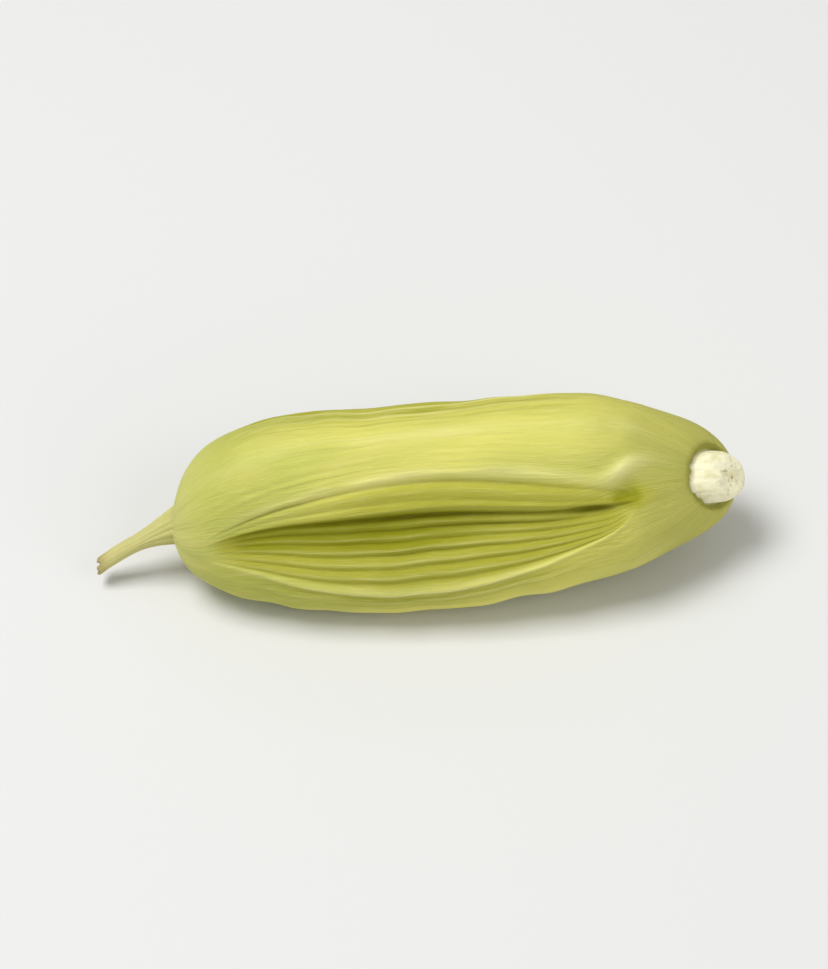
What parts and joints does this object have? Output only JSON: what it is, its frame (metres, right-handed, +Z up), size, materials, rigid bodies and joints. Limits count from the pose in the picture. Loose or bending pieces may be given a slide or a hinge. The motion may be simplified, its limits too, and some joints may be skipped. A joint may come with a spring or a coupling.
{
  "type": "green cardamom pod",
  "caption": "Whole dried green cardamom pod: a rounded three-sided capsule with smooth lobes, ribbed sides, a thin drooping stalk stub and a blunt end with a pale scar.",
  "frame": {"origin": "centre of the bounding box's underside, on the floor the pod rests on", "axes": "+X along the pod from the stalk stub to the blunt scarred end, +Z up; the ribbed side seen in the picture faces -Y"},
  "size_m": [0.0212, 0.007, 0.0065],
  "materials": {
    "husk": "dry matt husk, yellow-green"
  },
  "bodies": {
    "root": {"pod": "husk"}
  },
  "joints": []
}
